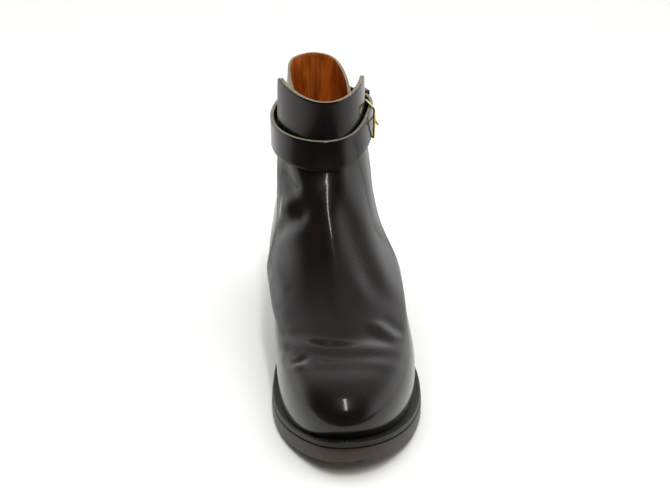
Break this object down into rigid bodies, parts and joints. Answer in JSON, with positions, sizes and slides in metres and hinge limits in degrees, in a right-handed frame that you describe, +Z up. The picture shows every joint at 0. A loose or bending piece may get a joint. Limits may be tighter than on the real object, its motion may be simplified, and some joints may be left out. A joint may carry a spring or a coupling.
{
  "type": "jodhpur boot",
  "caption": "Ankle-high leather jodhpur boot with a plain front panel, a wrap strap and buckle at the ankle, a welted sole and a stacked heel.",
  "frame": {"origin": "on the floor, under the middle of the heel", "axes": "+Z up, -Y towards the toe, +X towards the outer side of the left foot"},
  "size_m": [0.097, 0.298, 0.1736],
  "materials": {
    "upper_leather": "polished smooth calf, almost black brown",
    "strap_leather": "polished smooth calf with raw cut edges",
    "welt_leather": "waxed black welt leather with a stitched top",
    "sole_leather": "dark stained oak-bark leather, worn brown at the toe",
    "lining_leather": "matt orange-tan lining calf",
    "heel_rubber": "matt black rubber",
    "buckle_brass": "polished pale brass"
  },
  "bodies": {
    "root": {"outsole": "sole_leather", "welt": "welt_leather", "insole": "lining_leather", "upper": "upper_leather", "front_panel": "upper_leather", "back_strip": "upper_leather", "heel_top_piece": "heel_rubber", "heel_lift_1": "sole_leather", "heel_lift_2": "sole_leather", "heel_lift_3": "sole_leather", "ankle_strap": "strap_leather", "buckle_strap": "strap_leather", "strap_keeper": "strap_leather", "buckle_frame": "buckle_brass", "buckle_prong": "buckle_brass"}
  },
  "joints": []
}
